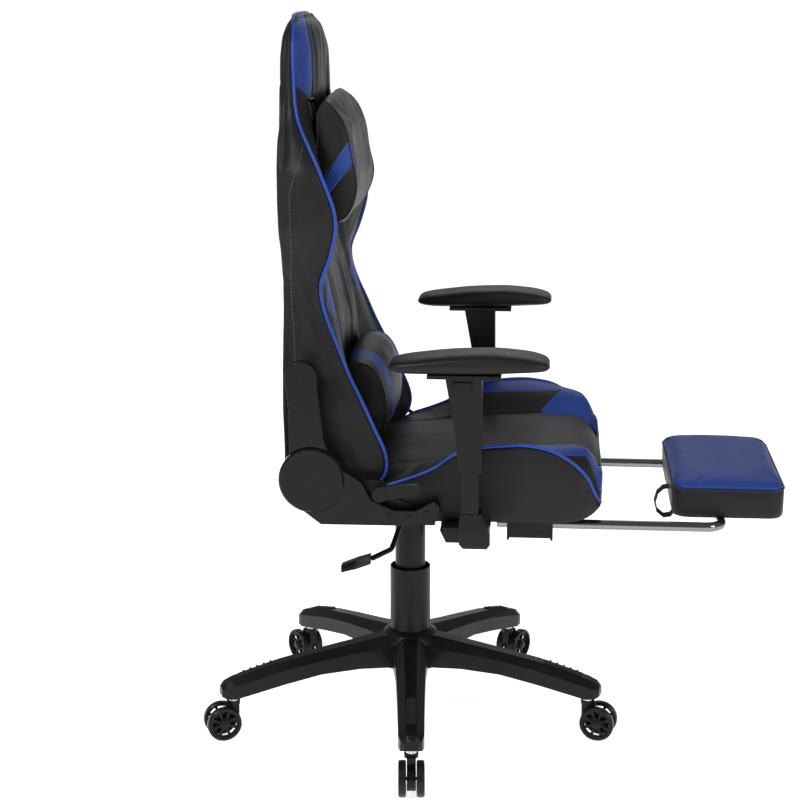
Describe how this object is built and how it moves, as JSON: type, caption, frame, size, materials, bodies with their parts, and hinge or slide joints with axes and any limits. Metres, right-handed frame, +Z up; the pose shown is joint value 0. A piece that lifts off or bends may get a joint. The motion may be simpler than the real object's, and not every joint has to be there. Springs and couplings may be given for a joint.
{
  "type": "gaming chair",
  "caption": "Swivel gaming chair with a reclining winged back, bucket seat, adjustable arms, head and lumbar pillows, gas lift, casters and a slide-out footrest.",
  "frame": {"origin": "on the floor, on the gas lift's axis", "axes": "+X to the sitter's front, +Y to the sitter's left, +Z up"},
  "size_m": [0.9831, 0.7223, 1.236],
  "materials": {
    "nylon": "satin black glass-filled nylon",
    "nylon_ribbed": "textured black plastic",
    "gloss_black": "semi-gloss moulded black plastic",
    "tyre": "black polyurethane caster wheels",
    "steel_black": "black powder-coated steel",
    "steel": "plain machined steel",
    "chrome": "polished chrome",
    "plywood": "birch plywood",
    "leather_black": "black PU leather, a polyurethane-coated fabric with a fine leather grain",
    "leather_blue": "royal blue PU leather, a polyurethane-coated fabric with a fine leather grain",
    "strap": "black woven strap",
    "arm_pad": "soft black polyurethane"
  },
  "bodies": {
    "base": {"base_star": "nylon", "foot_pads": "nylon_ribbed", "caster_stems": "steel", "lift_outer_tube": "steel_black", "lift_cover_lower": "nylon"},
    "column": {"lift_cover_middle": "nylon", "lift_piston": "steel"},
    "mechanism": {"tilt_housing": "steel_black", "tilt_pin": "steel", "tension_bolt": "steel"},
    "tension_knob": {"tension_knob": "nylon"},
    "lift_lever": {"lift_lever_rod": "steel_black", "lift_lever_grip": "gloss_black"},
    "seat": {"seat_plate": "steel_black", "seat_board": "plywood", "seat_bolts": "steel", "seat_cushion": "leather_black", "seat_bolster_right": "leather_black", "seat_bolster_left": "leather_black", "arm_brackets": "steel_black", "arm_post_right": "gloss_black", "arm_post_left": "gloss_black", "recliner_cover_right": "gloss_black", "recliner_cover_left": "gloss_black", "recliner_plates": "steel_black", "cover_screws": "steel", "footrest_guides": "nylon"},
    "backrest": {"back_frame": "steel_black", "back_cushion": "leather_black", "back_wing_right": "leather_black", "back_wing_left": "leather_black", "back_plates": "steel_black", "back_cover_right": "gloss_black", "back_cover_left": "gloss_black", "recliner_shaft": "steel", "strap_slot_trims": "gloss_black"},
    "recline_lever": {"recline_lever": "steel_black"},
    "footrest_slide": {"footrest_frame": "chrome"},
    "footrest_pad": {"footrest_cushion": "leather_blue", "footrest_board": "plywood", "footrest_hinges": "steel_black", "footrest_loop": "strap"},
    "head_pillow": {"head_pillow": "leather_black"},
    "lumbar_pillow": {"lumbar_pillow": "leather_black"},
    "arm_right": {"arm_sleeve_right": "gloss_black", "arm_pad_right": "arm_pad"},
    "arm_button_right": {"arm_button_right": "gloss_black"},
    "arm_left": {"arm_sleeve_left": "gloss_black", "arm_pad_left": "arm_pad"},
    "arm_button_left": {"arm_button_left": "gloss_black"},
    "caster_1": {"caster_1_fork": "gloss_black"},
    "wheels_1": {"caster_1_wheels": "tyre"},
    "caster_2": {"caster_2_fork": "gloss_black"},
    "wheels_2": {"caster_2_wheels": "tyre"},
    "caster_3": {"caster_3_fork": "gloss_black"},
    "wheels_3": {"caster_3_wheels": "tyre"},
    "caster_4": {"caster_4_fork": "gloss_black"},
    "wheels_4": {"caster_4_wheels": "tyre"},
    "caster_5": {"caster_5_fork": "gloss_black"},
    "wheels_5": {"caster_5_wheels": "tyre"}
  },
  "joints": [
    {"name": "caster_1_swivel", "type": "hinge", "parent": "base", "child": "caster_1", "pos_m": [0.02748, -0.32384, 0.06], "axis": [0, 0, 1], "continuous": true},
    {"name": "wheels_1_roll", "type": "hinge", "parent": "caster_1", "child": "wheels_1", "pos_m": [0.02917, -0.34376, 0.03], "axis": [0.9964, 0.0845, 0], "continuous": true},
    {"name": "caster_2_swivel", "type": "hinge", "parent": "base", "child": "caster_2", "pos_m": [0.31648, -0.07394, 0.06], "axis": [0, 0, 1], "continuous": true},
    {"name": "wheels_2_roll", "type": "hinge", "parent": "caster_2", "child": "wheels_2", "pos_m": [0.33595, -0.07849, 0.03], "axis": [0.2275, 0.9738, 0], "continuous": true},
    {"name": "caster_3_swivel", "type": "hinge", "parent": "base", "child": "caster_3", "pos_m": [0.16812, 0.27814, 0.06], "axis": [0, 0, 1], "continuous": true},
    {"name": "wheels_3_roll", "type": "hinge", "parent": "caster_3", "child": "wheels_3", "pos_m": [0.17846, 0.29526, 0.03], "axis": [-0.8558, 0.5173, 0], "continuous": true},
    {"name": "caster_4_swivel", "type": "hinge", "parent": "base", "child": "caster_4", "pos_m": [-0.21258, 0.24584, 0.06], "axis": [0, 0, 1], "continuous": true},
    {"name": "wheels_4_roll", "type": "hinge", "parent": "caster_4", "child": "wheels_4", "pos_m": [-0.22566, 0.26097, 0.03], "axis": [-0.7564, -0.6541, 0], "continuous": true},
    {"name": "caster_5_swivel", "type": "hinge", "parent": "base", "child": "caster_5", "pos_m": [-0.2995, -0.1262, 0.06], "axis": [0, 0, 1], "continuous": true},
    {"name": "wheels_5_roll", "type": "hinge", "parent": "caster_5", "child": "wheels_5", "pos_m": [-0.31793, -0.13397, 0.03], "axis": [0.3883, -0.9215, 0], "continuous": true},
    {"name": "seat_lift", "type": "slide", "parent": "base", "child": "column", "axis": [0, 0, 1], "range_m": [-0.06, 0.04]},
    {"name": "seat_swivel", "type": "hinge", "parent": "column", "child": "mechanism", "pos_m": [0, 0, 0.4], "axis": [0, 0, 1], "continuous": true},
    {"name": "tension_turn", "type": "hinge", "parent": "mechanism", "child": "tension_knob", "pos_m": [0.079, 0, 0.35], "axis": [0, 0, 1], "continuous": true},
    {"name": "lift_lever_pull", "type": "hinge", "parent": "mechanism", "child": "lift_lever", "pos_m": [-0.005, -0.0495, 0.395], "axis": [-1, 0, 0], "range_deg": [0, 5], "stiffness_Nm_per_rad": 4, "springref_deg": -5.73},
    {"name": "seat_tilt", "type": "hinge", "parent": "mechanism", "child": "seat", "pos_m": [0.06, 0, 0.414], "axis": [0, -1, 0], "range_deg": [0, 10], "stiffness_Nm_per_rad": 80, "springref_deg": -28.65},
    {"name": "recline", "type": "hinge", "parent": "seat", "child": "backrest", "pos_m": [-0.137, 0, 0.51], "axis": [0, -1, 0], "range_deg": [0, 55]},
    {"name": "recline_lever_pull", "type": "hinge", "parent": "seat", "child": "recline_lever", "pos_m": [-0.026, -0.28, 0.493], "axis": [0, -1, 0], "range_deg": [0, 25], "stiffness_Nm_per_rad": 0.6, "springref_deg": -20.05},
    {"name": "footrest_pull", "type": "slide", "parent": "seat", "child": "footrest_slide", "axis": [1, 0, 0], "range_m": [-0.245, 0]},
    {"name": "footrest_flip", "type": "hinge", "parent": "footrest_slide", "child": "footrest_pad", "pos_m": [0.525, 0, 0.423], "axis": [0, 1, 0], "range_deg": [0, 180]},
    {"name": "head_pillow_slide", "type": "slide", "parent": "backrest", "child": "head_pillow", "axis": [0, 0, 1], "range_m": [-0.03, 0.03]},
    {"name": "lumbar_pillow_slide", "type": "slide", "parent": "backrest", "child": "lumbar_pillow", "axis": [0, 0, 1], "range_m": [-0.015, 0.04]},
    {"name": "arm_height_right", "type": "slide", "parent": "seat", "child": "arm_right", "axis": [0, 0, 1], "range_m": [-0.02, 0.05]},
    {"name": "arm_button_right_press", "type": "slide", "parent": "arm_right", "child": "arm_button_right", "axis": [0, 1, 0], "range_m": [0, 0.0025], "stiffness_N_per_m": 400, "springref_m": -0.002},
    {"name": "arm_height_left", "type": "slide", "parent": "seat", "child": "arm_left", "axis": [0, 0, 1], "range_m": [-0.02, 0.05]},
    {"name": "arm_button_left_press", "type": "slide", "parent": "arm_left", "child": "arm_button_left", "axis": [0, -1, 0], "range_m": [0, 0.0025], "stiffness_N_per_m": 400, "springref_m": -0.002}
  ],
  "couplings": [
    {"joint": "footrest_flip", "follows": "footrest_pull", "rad_per_m": -12.823}
  ]
}
